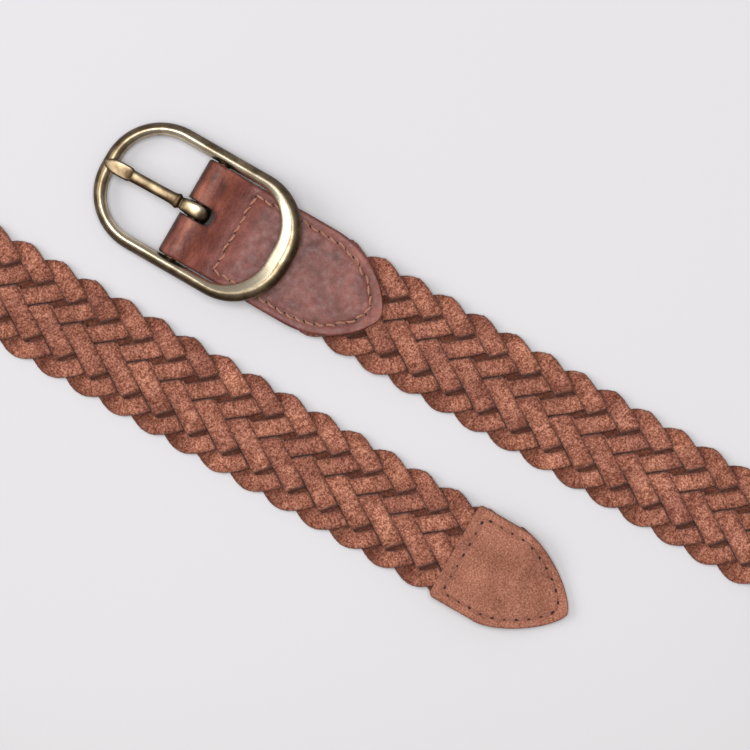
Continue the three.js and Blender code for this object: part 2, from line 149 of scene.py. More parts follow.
def closed_track():
    """The route, with straights of the lengths that bring it to the tip; they are square to each other."""
    end = walk(route(0, 0))[-1]
    missing = np.array([TIP_END_X - end[1], TIP_Y - end[2]])
    headings = np.radians([BEND_TURNS[0], BEND_TURNS[0] + BEND_TURNS[1]])
    lengths = [missing @ np.array([math.cos(h), math.sin(h)]) for h in headings]
    return walk(route(*lengths))


TRACK = closed_track()
STRAP_END = TRACK[-1, 0]
TIP_START = STRAP_END - TIP_LENGTH


def smoothstep(low, high, value):
    t = np.clip((value - low) / (high - low), 0, 1)
    return t * t * (3 - 2 * t)


def roll_at(s):
    """How far the strap is rolled on edge at s."""
    on = smoothstep(TWIST_ONE_START, TWIST_ONE_START + TWIST_LENGTH, s)
    end = STRAP_END - (TIP_END_X - TWIST_TWO_END_X)
    off = smoothstep(end - TWIST_LENGTH, end, s)
    return -math.pi / 2 * (on - off)


def flat_height(s):
    """Height of the braid's middle plane where it lies flat."""
    leaves = smoothstep(CHAPE_POINT, CHAPE_POINT + CHAPE_DESCENT, s)
    enters = smoothstep(TIP_START - TIP_DESCENT, TIP_START, s)
    at_chape = (CHAPE_BRAID_HEIGHT - HALF_THICKNESS) * (1 - leaves)
    at_tip = (TIP_BRAID_HEIGHT - HALF_THICKNESS) * enters
    up = at_chape + at_tip
    return HALF_THICKNESS + up


def strap_points(s, a, b):
    """Points in mm at s along the strap, a to its left and b out of its face."""
    x = np.interp(s, TRACK[:, 0], TRACK[:, 1])
    y = np.interp(s, TRACK[:, 0], TRACK[:, 2])
    heading = np.interp(s, TRACK[:, 0], TRACK[:, 3])
    roll = roll_at(s)
    height = EDGE_REACH * np.abs(np.sin(roll)) + flat_height(s) * np.cos(roll)
    across = a * np.cos(roll) - b * np.sin(roll)
    up = a * np.sin(roll) + b * np.cos(roll)
    x = x - np.sin(heading) * across
    y = y + np.cos(heading) * across
    return ORIGIN + np.stack([x, y, height + up], axis=-1)


# ---------- mesh helpers ----------

def add_mesh(name, points_mm, faces, material, attributes=None):
    mesh = bpy.data.meshes.new(name)
    mesh.from_pydata((np.asarray(points_mm) * MM).tolist(), [], faces)
    mesh.polygons.foreach_set("use_smooth", [True] * len(mesh.polygons))
    for key, values in (attributes or {}).items():
        layer = mesh.attributes.new(key, "FLOAT", "POINT")
        layer.data.foreach_set("value", np.asarray(values, dtype=np.float32))
    mesh.validate()
    mesh.update()
    obj = bpy.data.objects.new(name, mesh)
    bpy.context.scene.collection.objects.link(obj)
    mesh.materials.append(material)
    return obj


def loft_faces(rings, size, closed=False):
    """Faces of a tube through rings of points; its ends are capped unless it is closed on itself."""
    faces = []
    last = rings if closed else rings - 1
    for i in range(last):
        here, there = i * size, ((i + 1) % rings) * size
        for j in range(size):
            k = (j + 1) % size
            faces.append((here + j, there + j, there + k, here + k))
    if not closed:
        faces.append(tuple(range(size)))
        faces.append(tuple(reversed(range((rings - 1) * size, rings * size))))
    return faces


def face_outwards(obj):
    bpy.context.view_layer.objects.active = obj
    obj.select_set(True)
    bpy.ops.object.mode_set(mode="EDIT")
    bpy.ops.mesh.select_all(action="SELECT")
    bpy.ops.mesh.normals_make_consistent(inside=False)
    bpy.ops.object.mode_set(mode="OBJECT")
    obj.select_set(False)


def smooth(obj, levels, render_levels):
    modifier = obj.modifiers.new("smooth", "SUBSURF")
    modifier.levels = levels
    modifier.render_levels = render_levels


def piece(obj, body, slot, *nodes):
    """Finishes a piece: turns its faces outwards, hides the CAD nodes it replaces and hangs it on the body
    it rides on; slot is not used.
    """
    face_outwards(obj)
    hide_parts(*nodes)
    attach(obj, body)
    return obj


def noise_values(points, scale, seed=0.0):
    """Smooth noise in -1..1 at points in mm; scale is the size of its features."""
    shift = Vector((seed, seed * 0.7, -seed))
    values = [noise.noise(Vector(p) / scale + shift) for p in points.reshape(-1, 3)]
    return np.array(values).reshape(points.shape[:-1])


# ---------- materials ----------

class Nodes:
    """A material's node tree, with short calls for the nodes used here."""

    def __init__(self, name):
        self.material = bpy.data.materials.new(name)
        self.material.use_nodes = True
        self.tree = self.material.node_tree
        self.shader = self.tree.nodes["Principled BSDF"]
        self.place = self.tree.nodes.new("ShaderNodeTexCoord").outputs["Object"]

    def link(self, source, target):
        self.tree.links.new(source, target)

    def set(self, **values):
        for key, value in values.items():
            self.shader.inputs[key.replace("_", " ")].default_value = value

    def noise(self, feature_mm, detail=3.0, roughness=0.55, vector=None):
        node = self.tree.nodes.new("ShaderNodeTexNoise")
        node.inputs["Scale"].default_value = 1 / (feature_mm * MM)
        node.inputs["Detail"].default_value = detail
        node.inputs["Roughness"].default_value = roughness
        self.link(vector or self.place, node.inputs["Vector"])
        return node.outputs["Fac"]

    def cells(self, feature_mm):
        node = self.tree.nodes.new("ShaderNodeTexVoronoi")
        node.inputs["Scale"].default_value = 1 / (feature_mm * MM)
        self.link(self.place, node.inputs["Vector"])
        return node.outputs["Distance"]

    def attribute(self, name):
        node = self.tree.nodes.new("ShaderNodeAttribute")
        node.attribute_name = name
        return node.outputs["Fac"]

    def ramp(self, factor, *stops):
        node = self.tree.nodes.new("ShaderNodeValToRGB")
        elements = node.color_ramp.elements
        while len(elements) < len(stops):
            elements.new(0.5)
        for element, (position, colour) in zip(elements, stops):
            element.position = position
            element.color = (*colour, 1) if len(colour) == 3 else colour
        self.link(factor, node.inputs["Fac"])
        return node.outputs["Color"]

    def scaled(self, factor, low, high, to_low=0.0, to_high=1.0):
        node = self.tree.nodes.new("ShaderNodeMapRange")
        node.inputs["From Min"].default_value = low
        node.inputs["From Max"].default_value = high
        node.inputs["To Min"].default_value = to_low
        node.inputs["To Max"].default_value = to_high
        self.link(factor, node.inputs["Value"])
        return node.outputs["Result"]

    def mix(self, factor, a, b, blend="MIX"):
        node = self.tree.nodes.new("ShaderNodeMix")
        node.data_type = "RGBA"
        node.blend_type = blend
        for value, socket in ((factor, node.inputs[0]), (a, node.inputs[6]), (b, node.inputs[7])):
            if hasattr(value, "links"):
                self.link(value, socket)
            elif isinstance(value, tuple):
                socket.default_value = (*value, 1)
            else:
                socket.default_value = value
        return node.outputs[2]

    def maths(self, operation, a, b):
        node = self.tree.nodes.new("ShaderNodeMath")
        node.operation = operation
        for value, socket in ((a, node.inputs[0]), (b, node.inputs[1])):
            if hasattr(value, "links"):
                self.link(value, socket)
            else:
                socket.default_value = value
        return node.outputs[0]

    def bump(self, height, depth_mm, strength=1.0, under=None):
        node = self.tree.nodes.new("ShaderNodeBump")
        node.inputs["Distance"].default_value = depth_mm * MM
        node.inputs["Strength"].default_value = strength
        self.link(height, node.inputs["Height"])
        if under:
            self.link(under, node.inputs["Normal"])
        return node.outputs["Normal"]


def suede_material(name, light, middle, dark, shade_colour, streaks):
    """Napped leather: mottled and grainy, with painted shade where other laces cover the lace and along its
    edges, and a faint painted highlight with wear on its crests.
    """
    nodes = Nodes(name)
    grain = nodes.noise(0.62, 5, 0.8)
    if streaks:
        # "along" and "across" are in millimetres, so their features are given in millimetres too
        combine = nodes.tree.nodes.new("ShaderNodeCombineXYZ")
        nodes.link(nodes.attribute("along"), combine.inputs["X"])
        nodes.link(nodes.maths("MULTIPLY", nodes.attribute("across"), 0.3), combine.inputs["Y"])
        streak = nodes.noise(0.9 / MM, 3, 0.6, combine.outputs["Vector"])
        grain = nodes.maths("MULTIPLY", grain, 0.75)
        grain = nodes.maths("ADD", grain, nodes.maths("MULTIPLY", streak, 0.25))
        # wear and a painted highlight: lighter on the crests of long exposed stretches
        grain = nodes.maths("ADD", grain, nodes.maths("MULTIPLY", nodes.attribute("worn_and_lit"), 0.035))
        grain = nodes.maths("SUBTRACT", grain, 0.012)
    colour = nodes.ramp(grain, (0.40, dark), (0.5, middle), (0.60, light))
    patches = nodes.ramp(nodes.noise(9.0, 3), (0.3, (0.76, 0.72, 0.70)), (0.7, (1.12, 1.13, 1.14)))
    colour = nodes.mix(1.0, colour, patches, "MULTIPLY")
    if streaks:
        length = nodes.tree.nodes.new("ShaderNodeCombineXYZ")
        nodes.link(nodes.attribute("along"), length.inputs["X"])
        tone = nodes.noise(16.0 / MM, 2, 0.5, length.outputs["Vector"])
        tones = nodes.ramp(tone, (0.35, (0.78, 0.71, 0.73)), (0.65, (1.15, 1.13, 1.07)))
        colour = nodes.mix(1.0, colour, tones, "MULTIPLY")
    pores = nodes.ramp(nodes.cells(0.7), (0.10, (0.5, 0.42, 0.4)), (0.34, (1, 1, 1)))
    colour = nodes.mix(0.7, colour, pores, "MULTIPLY")
    # painted shade: mixed towards the shade colour where the shade attribute is low
    colour = nodes.mix(nodes.attribute("shade"), shade_colour, colour)
    nodes.link(colour, nodes.shader.inputs["Base Color"])
    fibres = nodes.bump(nodes.noise(0.45, 4, 0.75), 0.35, 1.0)
    lumps = nodes.bump(nodes.noise(2.0, 4), 0.4, 0.8, fibres)
    nodes.link(lumps, nodes.shader.inputs["Normal"])
    nodes.set(Roughness=0.95, Sheen_Weight=0.15, Sheen_Roughness=0.5, Specular_IOR_Level=0.12)
    return nodes.material


def chape_material():
    """Smooth dyed leather: mottled plum-brown, warmer towards the fold, with pores and creases, and painted
    shade mixed in from the shade attribute.
    """
    nodes = Nodes("chape_leather")
    mottle = nodes.noise(7.0, 5, 0.6)
    stretched = nodes.tree.nodes.new("ShaderNodeVectorMath")
    stretched.operation = "MULTIPLY"
    stretched.inputs[1].default_value = (1.3, 0.5, 1.3)
    nodes.link(nodes.place, stretched.inputs[0])
    streaks = nodes.noise(5.0, 5, 0.6, stretched.outputs["Vector"])
    plum = nodes.ramp(mottle, (0.3, (0.085, 0.021, 0.017)), (0.5, (0.168, 0.049, 0.039)),
                      (0.7, (0.27, 0.09, 0.074)))
    warm = nodes.ramp(streaks, (0.32, (0.075, 0.015, 0.008)), (0.5, (0.20, 0.048, 0.026)),
                      (0.68, (0.36, 0.115, 0.066)))
    colour = nodes.mix(nodes.attribute("warmth"), plum, warm)
    pores = nodes.ramp(nodes.cells(1.0), (0.10, (0.12, 0.09, 0.08)), (0.24, (1, 1, 1)))
    colour = nodes.mix(0.6, colour, pores, "MULTIPLY")
    fine = nodes.ramp(nodes.noise(0.7, 4, 0.7), (0.3, (0.82, 0.8, 0.8)), (0.7, (1.15, 1.13, 1.12)))
    colour = nodes.mix(1.0, colour, fine, "MULTIPLY")
    # painted shade: towards near-black brown where the shade attribute is low
    colour = nodes.mix(nodes.attribute("shade"), (0.022, 0.007, 0.005), colour)
    nodes.link(colour, nodes.shader.inputs["Base Color"])
    nodes.link(nodes.scaled(nodes.noise(2.5, 4), 0.3, 0.7, 0.38, 0.6), nodes.shader.inputs["Roughness"])
    grain = nodes.bump(nodes.cells(0.8), 0.12, 0.5)
    creases = nodes.bump(nodes.noise(3.0, 5, 0.6), 0.3, 0.6, grain)
    nodes.link(creases, nodes.shader.inputs["Normal"])
    nodes.set(Specular_IOR_Level=0.38)
    return nodes.material


def brass_material():
    """Antiqued brass: brown patina in the low places, worn bright on the high ones, finely brushed; its
    brightness value also carries painted highlights and reflections.
    """
    nodes = Nodes("antique_brass")
    uneven = nodes.scaled(nodes.noise(5.0, 4), 0.3, 0.7, -0.18, 0.18)
    wear_and_highlight = nodes.maths("ADD", nodes.attribute("wear_and_highlight"), uneven)
    colour = nodes.ramp(wear_and_highlight, (0.15, (0.075, 0.047, 0.026)), (0.5, (0.25, 0.19, 0.115)),
                        (0.95, (0.72, 0.62, 0.46)))
    specks = nodes.ramp(nodes.noise(0.8, 4, 0.7), (0.3, (0.8, 0.78, 0.74)), (0.6, (1, 1, 1)))
    nodes.link(nodes.mix(0.6, colour, specks, "MULTIPLY"), nodes.shader.inputs["Base Color"])
    nodes.link(nodes.scaled(wear_and_highlight, 0.1, 0.9, 0.42, 0.30), nodes.shader.inputs["Roughness"])
    brushing = nodes.bump(nodes.noise(0.5, 3), 0.02, 0.5)
    nodes.link(brushing, nodes.shader.inputs["Normal"])
    nodes.set(Metallic=1.0)
    return nodes.material


def thread_material(name, colour_light, colour_dark):
    nodes = Nodes(name)
    ply = nodes.noise(0.45, 3)
    nodes.link(nodes.ramp(ply, (0.3, colour_dark), (0.7, colour_light)), nodes.shader.inputs["Base Color"])
    nodes.link(nodes.bump(ply, 0.15, 0.8), nodes.shader.inputs["Normal"])
    nodes.set(Roughness=0.7, Sheen_Weight=0.2)
    return nodes.material


def plain_material(name, colour, roughness):
    nodes = Nodes(name)
    lighter = tuple(1.2 * c for c in colour)
    colours = nodes.ramp(nodes.noise(0.5, 2), (0.3, colour), (0.7, lighter))
    nodes.link(colours, nodes.shader.inputs["Base Color"])
    nodes.set(Roughness=roughness)
    return nodes.material


SUEDE = suede_material("suede_lace", light=(0.66, 0.312, 0.215), middle=(0.315, 0.113, 0.070),
                       dark=(0.100, 0.027, 0.014), shade_colour=(0.065, 0.017, 0.009), streaks=True)
TIP_SUEDE = suede_material("tip_suede", light=(0.52, 0.24, 0.165), middle=(0.385, 0.152, 0.096),
                           dark=(0.22, 0.074, 0.042), shade_colour=(0.13, 0.038, 0.018), streaks=False)
CHAPE_LEATHER = chape_material()
BRASS = brass_material()
THREAD = thread_material("chape_sewing_thread", (0.52, 0.235, 0.15), (0.22, 0.075, 0.042))
TIP_THREAD = thread_material("tip_sewing_thread", (0.36, 0.14, 0.09), (0.24, 0.085, 0.05))
# the needle holes are near-black ovals of painted shade
HOLE = plain_material("needle_hole", (0.02, 0.008, 0.005), 0.9)


# ---------- the seven laces ----------

def level_curve(t):
    """Centre line's distance from the strap's middle at step t, through LEVELS, smooth at the edges."""
    folded = np.abs((t + LACES) % (2 * LACES) - LACES)
    base = np.clip(np.floor(folded).astype(int), 0, LACES - 1)
    share = folded - base
    levels = np.array(LEVELS)
    slopes = np.zeros(LACES + 1)
    slopes[1:-1] = (levels[2:] - levels[:-2]) / 2
    h2, h3 = share ** 2, share ** 3
    start = levels[base] * (2 * h3 - 3 * h2 + 1) + slopes[base] * (h3 - 2 * h2 + share)
    return start + levels[base + 1] * (3 * h2 - 2 * h3) + slopes[base + 1] * (h3 - h2)


def step_of_level(a):
    """The step, 0 at the left edge and 7 at the right, at which a centre line lies at distance a."""
    inner = np.interp(-a, -np.array(LEVELS[1:-1]), np.arange(1, LACES))
    left = np.minimum(0, (LEVELS[1] - a) / LEVEL_STEP)
    right = np.maximum(0, (LEVELS[-2] - a) / LEVEL_STEP)
    return inner + left + right


def sign_at(step):
    """1 where a lace lies over at this step, -1 where it lies under and 0 at its turns."""
    return np.array(OVER_UNDER)[np.mod(step, 2 * LACES)]


def crossing_coordinate(half, u, a):
    """Step count of a point measured along half period number half, so that crossings are whole numbers."""
    down = step_of_level(a)
    along = u - LACES * half
    even = (along + down) / 2
    odd = (along + LACES - down) / 2
    return LACES * half + np.where(half % 2 == 0, even, odd)


def ease(share):
    return smoothstep(0, 1, share)


def lift_at(t, u, a):
    """How far a point of a lace lies above (+1) or below (-1) the braid's middle plane."""
    half = np.floor(t / LACES).astype(int)
    within = t - half * LACES
    after = within > LACES / 2
    before = np.where(after, half, half - 1)
    turn = (before + 1) * LACES
    left = np.clip(crossing_coordinate(before, u, a) - (turn - TURN_REACH), 0, None)
    ahead = np.clip(turn + TURN_REACH - crossing_coordinate(before + 1, u, a), 0, None)
    round_turn = ease(left / (left + ahead + 1e-9))
    at_edge = sign_at(turn - 1) + (sign_at(turn + 1) - sign_at(turn - 1)) * round_turn
    coordinate = crossing_coordinate(half, u, a)
    below = np.floor(coordinate + 1e-6).astype(int)
    here, ahead_sign = sign_at(below), sign_at(below + 1)
    # a lace changes height from this share of the way to the next crossing on, over this length;
    # on its way back it is pinned by its close neighbours, so the change is more abrupt
    returning = half % 2 == 1
    falling = here > ahead_sign
    first = np.where(returning, np.where(falling, 0.41, 0.44), np.where(falling, 0.42, 0.34))
    length = np.where(returning, 0.15, np.where(falling, 0.20, 0.16))
    inside = here + (ahead_sign - here) * ease((coordinate - below - first) / length)
    return np.where((within < 1) | (within > LACES - 1), at_edge, inside)


def lace_section():
    """Places across a lace (-1..1) and its height there (-1..1), round a flat section with soft edges."""
    across = [-1.0, -0.985, -0.93, -0.8, -0.45, 0.0, 0.45, 0.8, 0.93, 0.985, 1.0]
    top = [(e, (1 - abs(e) ** 9) ** 0.5 * (1 - 0.10 * e * e)) for e in across]
    bottom = [(e, -h) for e, h in reversed(top[1:-1])]
    return np.array(top + bottom)


def add_lace(index):
    """One lace, from inside the chape to inside the tip, as a loft of flat cross sections.

    t counts steps along it; x and a are places along and across the strap, b is out of its face.
    """
    offset = FIRST_TURN + 2 * index * STEP
    lean_reach = LEAN * EDGE_REACH
    braid_end = STRAP_END - BRAID_END_BEFORE_TIP
    first = (BRAID_START - lean_reach - offset) / STEP
    last = (braid_end + lean_reach - offset) / STEP
    t = np.linspace(first, last, int((last - first) / LACE_STATION))
    centre = level_curve(t)
    nudge = 0.01
    climb = (level_curve(t + nudge) - level_curve(t - nudge)) / (2 * nudge)
    advance = STEP - LEAN * climb
    normal = np.stack([-climb, advance], axis=-1) / np.hypot(climb, advance)[:, None]
    section = lace_section()
    ragged = np.array([rng.uniform(-1, 1) for _ in range(2 * len(t))]).reshape(2, -1)
    within = np.mod(t, LACES)
    inside = smoothstep(0.8, 1.2, within) * smoothstep(LACES - 0.8, LACES - 1.2, within)
    level = lift_at(t, t, centre)
    pressed = smoothstep(-0.75, -1.0, level) * inside
    around = sum(lift_at(t + shift, t + shift, level_curve(t + shift)) for shift in (-0.6, -0.3, 0.3, 0.6))
    bulge = smoothstep(-0.4, 1.0, (level + around) / 5)
    back = smoothstep(-0.5, 0.5, LACES / 2 - np.abs(np.mod(t, 2 * LACES) - 1.5 * LACES))
    width = LACE_WIDTH + (RETURN_WIDTH - LACE_WIDTH) * back
    hidden_extra = HIDDEN_EXTRA + (HIDDEN_RETURN_EXTRA - HIDDEN_EXTRA) * back
    reach = (width + hidden_extra * pressed) / 2 + RAGGED * ragged[0]
    side = section[:, 0][None, :] * reach[:, None]
    x = (t * STEP - LEAN * centre)[:, None] + normal[:, :1] * side
    a = centre[:, None] + normal[:, 1:] * side
    u = (x + LEAN * a) / STEP
    steps = np.repeat(t[:, None], len(section), axis=1)
    lift = lift_at(steps, u, a)
    b = LIFT * lift + section[:, 1][None, :] * LACE_THICKNESS / 2 + BULGE * (bulge[:, None] - 0.7)
    s = np.clip(x + offset, BRAID_START, braid_end)
    wander = noise_values(np.stack([s, a, np.full_like(s, 40.0 * index)], axis=-1), WANDER_SIZE)
    points = strap_points(s, a, b + WANDER * wander)
    upper = section[:, 1][None, :] >= 0
    facing = np.where(upper, lift, -lift)
    edge = np.abs(section[:, 0][None, :])
    # the shade falls towards 0 where other laces hide a lace, and along its edges
    crossing = 0.02 + 0.98 * smoothstep(-0.7, 0.98, facing) + 0.28 * smoothstep(-0.85, -1.0, facing)
    turning = 0.45 + 0.55 * smoothstep(-0.9, 0.1, facing)
    shade = (turning + (crossing - turning) * inside[:, None]) * (1 - 0.55 * edge ** 7)
    along = np.repeat(t[:, None] * STEP + 300 * index, len(section), axis=1)
    # wear and a painted highlight on the crests of long exposed stretches
    worn_and_lit = smoothstep(0.2, 1.0, facing) * (1 - edge ** 2) * bulge[:, None]
    faces = loft_faces(len(t), len(section))
    looks = {"shade": shade, "along": along, "across": side, "worn_and_lit": worn_and_lit}
    attributes = {key: values.ravel() for key, values in looks.items()}
    obj = add_mesh(f"braid_lace_{index + 1}", points.reshape(-1, 3), faces, SUEDE, attributes)
    piece(obj, "strap", "suede_lace", f"lace_{index + 1}")


# ---------- leather sheets ----------

NEARLY_QUARTER_TURN = 1.5707
LEAST_HALF_WIDTH = 0.25  # of a sheet at its very point


def narrowed_half(full_width, share, rounding):
    """Half width of an end at a share 0..1 of its narrowing part; rounding is a pair of powers."""
    t = np.clip(share, 0, 1)
    return full_width / 2 * (1 - t ** rounding[0]) ** rounding[1]


def stitch_path(start_x, shoulder, point, width, rounding, inset, point_inset, stitch):
    """Closed line of the seam in plan, evenly divided into stitches about `stitch` long."""
    inner = width / 2 - inset
    rows = [(start_x, 0.0), (start_x, inner), (shoulder, inner)]
    for share in np.sin(np.linspace(0, math.pi / 2, 24)[1:]):
        x = shoulder + (point - point_inset - shoulder) * share
        rows.append((x, float(narrowed_half(2 * inner, share, rounding))))
    half = np.array(rows)
    line = np.concatenate([half, half[::-1][1:] * [1, -1]])
    lengths = np.concatenate([[0], np.cumsum(np.linalg.norm(np.diff(line, axis=0), axis=1))])
    count = round(lengths[-1] / stitch)
    places = np.linspace(0, lengths[-1], count + 1)
    return np.stack([np.interp(places, lengths, line[:, i]) for i in (0, 1)], axis=-1), line


def towards_point(shoulder, point, count):
    """Places along an end's narrowing part, closer together near its point."""
    return shoulder + (point - shoulder) * np.sin(np.linspace(0, NEARLY_QUARTER_TURN, count)[1:])


def nose_thinning(x, end, thickness):
    """How thick a sheet still is near its point, as a share."""
    over = np.clip((x - (end - thickness / 2)) / (thickness / 2), 0, 0.98)
    return math.sqrt(1 - over ** 2)


def front_station(x, front, half, thin):
    """A row for leather_sheet at x, square to the curve that front gives the height of."""
    nudge = 0.05
    slope = float(front(x + nudge) - front(x - nudge)) / (2 * nudge)
    length = math.hypot(1, slope)
    return x, float(front(x)), -slope / length, 1 / length, half, thin


def distance_to(line, x, y):
    """Distance of points from the nearest part of a line."""
    best = np.full(x.shape, 1e9)
    for (x0, y0), (x1, y1) in zip(line[:-1], line[1:]):
        dx, dy = x1 - x0, y1 - y0
        share = np.clip(((x - x0) * dx + (y - y0) * dy) / (dx * dx + dy * dy + 1e-9), 0, 1)
        best = np.minimum(best, np.hypot(x - x0 - share * dx, y - y0 - share * dy))
    return best


def leather_sheet(name, stations, thickness, y_middle, dent, material, attributes):
    """A sheet with soft edges. stations: rows of x, z, normal x, normal z, half width, thinning."""
    rounded = thickness / 2
    # places across half the sheet, from its edge inwards, for a half width of 17.2
    across = np.concatenate([[0, 0.15, 0.5, 1.0], np.linspace(1.6, 15.4, 18)])
    points, extra = [], {key: [] for key in attributes}
    for x, z, nx, nz, half, thin in stations:
        reach = np.concatenate([-half + across * half / 17.2, [0.0]])
        y = np.concatenate([reach, -reach[:-1][::-1]])
        edge = np.clip((np.abs(y) - (half - rounded)) / rounded, 0, 1)
        height = np.sqrt(1 - edge ** 2) * thickness / 2 * thin
        top = height - dent(np.full_like(y, x), y, nz)
        ring_y = np.concatenate([y, y[1:-1][::-1]])
        ring_h = np.concatenate([top, -height[1:-1][::-1]])
        points.append(np.stack([x + nx * ring_h, y_middle + ring_y, z + nz * ring_h], axis=-1))
        for key, rule in attributes.items():
            extra[key].append(rule(np.full_like(ring_y, x), ring_y, half, nz, ring_h))
    points = ORIGIN + np.array(points)
    faces = loft_faces(len(stations), points.shape[1])
    values = {key: np.array(rows).ravel() for key, rows in extra.items()}
    return add_mesh(name, points.reshape(-1, 3), faces, material, values)


def add_stitches(name, holes, surface, y_middle, material, radius, proud, wobble):
    """Separate stitches from hole to hole, each a short bowed thread that dips in at both ends.

    surface gives the leather's height, proud is how far a stitch stands above it and wobble how
    far it strays from the seam.
    """
    points, faces = [], []
    sides, stations = 8, 9
    for start, end in zip(holes[:-1], holes[1:]):
        along = end - start
        out = np.array([-along[1], along[0]]) / (np.linalg.norm(along) + 1e-9)
        sway = rng.uniform(-wobble, wobble)
        start = start + out * rng.uniform(0.2, 1.0) * wobble
        end = end - out * rng.uniform(0.2, 1.0) * wobble
        along = end - start
        first = len(points)
        for i in range(stations):
            share = 0.04 + 0.92 * i / (stations - 1)
            bow = math.sin(math.pi * share)
            place = start + along * share + out * sway * bow
            height = surface(place[0]) + proud * bow ** 0.5 - 0.45 * (1 - bow) ** 2
            thick = radius * (0.7 + 0.3 * bow) * (1 + 0.08 * math.cos(i * 2.4))
            for j in range(sides):
                angle = 2 * math.pi * j / sides
                swing = out * thick * math.cos(angle)
                lifted = height + thick * math.sin(angle)
                points.append((place[0] + swing[0], y_middle + place[1] + swing[1], lifted))
        faces += [tuple(v + first for v in face) for face in loft_faces(stations, sides)]
    return add_mesh(name, ORIGIN + np.array(points), faces, material)


def add_holes(name, holes, surface, y_middle, size):
    """Needle holes as small ovals of painted shade just proud of the leather, turned roughly along the
    seam.
    """
    points, faces = [], []
    sides = 10
    for i, place in enumerate(holes[:-1]):
        long_size = size * rng.uniform(0.7, 1.3)
        wide_size = size * rng.uniform(0.4, 0.7)
        seam = holes[i + 1] - holes[i - 1]
        turn = math.atan2(seam[1], seam[0]) + rng.uniform(-0.5, 0.5)
        first = len(points)
        slope = (surface(place[0] + 0.2) - surface(place[0] - 0.2)) / 0.4
        for j in range(sides):
            angle = 2 * math.pi * j / sides
            dx, dy = long_size * math.cos(angle), wide_size * math.sin(angle)
            x = dx * math.cos(turn) - dy * math.sin(turn)
            y = dx * math.sin(turn) + dy * math.cos(turn)
            points.append((place[0] + x, y_middle + place[1] + y, surface(place[0]) + slope * x + 0.03))
        faces.append(tuple(range(first, first + sides)))
    return add_mesh(name, ORIGIN + np.array(points), faces, HOLE)


# ---------- the chape ----------

CHAPE_THICKNESS = 1.7
CHAPE_SHOULDER = 42.0
CHAPE_ROUNDING = (2.2, 0.7)
CHAPE_NARROW_HALF = 17.75  # half width at the fold
CHAPE_SPREAD = 0.35  # the chape is this much wider, on each side, where the braid lies in it
VALLEY = 13.8  # the front layer dips here, between the bar and the braid
VALLEY_TOP = 4.9
PANEL = 19.5  # and is level from here on
PANEL_TOP = 7.4
SLOT_END = 5.9
SLOT_END_BELOW = 3.6
SLOT_WIDTH = 5.9
FOLD_MIDDLE = FOLD_RADIUS - CHAPE_THICKNESS / 2
SEAM_DEPTH = 0.35  # the stitching lies this far below the leather's undented surface


def chape_front(x):
    """Height of the middle of the chape's front layer."""
    valley = VALLEY_TOP - CHAPE_THICKNESS / 2
    share = np.clip((x - BAR_X) / (VALLEY - BAR_X), 0, 1)
    falling = valley + (BAR[2] + FOLD_MIDDLE - valley) * (1 + np.cos(np.pi * share)) / 2
    rising = valley + (PANEL_TOP - CHAPE_THICKNESS / 2 - valley) * smoothstep(VALLEY, PANEL, x)
    return np.where(x < VALLEY, falling, rising)


def chape_half(x):
    """The chape's half width at x."""
    wide = CHAPE_NARROW_HALF + CHAPE_SPREAD * smoothstep(22, 32, x)
    share = (x - CHAPE_SHOULDER) / (CHAPE_POINT - CHAPE_SHOULDER)
    return max(float(narrowed_half(2 * wide, share, CHAPE_ROUNDING)), LEAST_HALF_WIDTH)


CHAPE_HOLES, CHAPE_SEAM = stitch_path(
    VALLEY + 0.3, CHAPE_SHOULDER, CHAPE_POINT, width=2 * (CHAPE_NARROW_HALF + CHAPE_SPREAD),
    rounding=CHAPE_ROUNDING, inset=3.4, point_inset=4.6, stitch=3.6)


def add_chape():
    """One strip of leather: its front layer, the fold round the bar and its back layer."""
    flat = np.concatenate([np.linspace(BAR_X, CHAPE_SHOULDER, 70),
                           towards_point(CHAPE_SHOULDER, CHAPE_POINT, 42)])
    stations = []
    for x in flat[::-1]:
        thin = nose_thinning(x, CHAPE_POINT, CHAPE_THICKNESS)
        stations.append(front_station(x, chape_front, chape_half(x), thin))
    for angle in np.linspace(math.pi / 2, 3 * math.pi / 2, 26)[1:-1]:
        nx, nz = math.cos(angle), math.sin(angle)
        x, z = BAR_X + FOLD_MIDDLE * nx, BAR[2] + FOLD_MIDDLE * nz
        stations.append((x, z, nx, nz, CHAPE_NARROW_HALF, 1.0))
    for x in flat:
        thin = nose_thinning(x, CHAPE_POINT, CHAPE_THICKNESS)
        stations.append((x, CHAPE_THICKNESS / 2, 0.0, -1.0, chape_half(x), thin))

    def dent(x, y, nz):
        if nz < 0.5:
            return 0 * y
        groove = 0.42 * np.exp(-(distance_to(CHAPE_SEAM, x, y) / 0.8) ** 2)
        swell = 0.16 * noise_values(np.stack([x, y, 0 * x], axis=-1), 8.0, 3.0)
        return groove - swell

    def shade(x, y, half, nz, height):
        # painted shade in the seam groove, round the slot, on the fold's far side and in the pocket inside
        # the fold; also darker along the edges
        edge = smoothstep(half - 0.9, half - 0.1, np.abs(y))
        seam = 0.35 * np.exp(-(distance_to(CHAPE_SEAM, x, y) / 0.55) ** 2) if nz > 0.5 else 0
        rim_x = np.maximum(x - (SLOT_END - SLOT_WIDTH / 2), 0)
        rim = 0.55 * np.exp(-((np.hypot(rim_x, y) - SLOT_WIDTH / 2) / 0.7) ** 2)
        fold = 0.85 * smoothstep(-2.0, -4.4, x)
        inside = 0.95 * (height < 0) * smoothstep(VALLEY, VALLEY - 4, x)
        return 1 - np.clip(0.45 * edge + seam + rim + fold + inside, 0, 0.95)

    def warmth(x, y, half, nz, height):
        return 1 - 0.85 * smoothstep(-1, 13, x) + 0.25 * smoothstep(40, 70, x)

    obj = leather_sheet("chape_leather", stations, CHAPE_THICKNESS, 0.0, dent, CHAPE_LEATHER,
                        {"shade": shade, "warmth": warmth})
    face_outwards(obj)
    cut_slot(obj)
    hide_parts("chape")
    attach(obj, "strap")


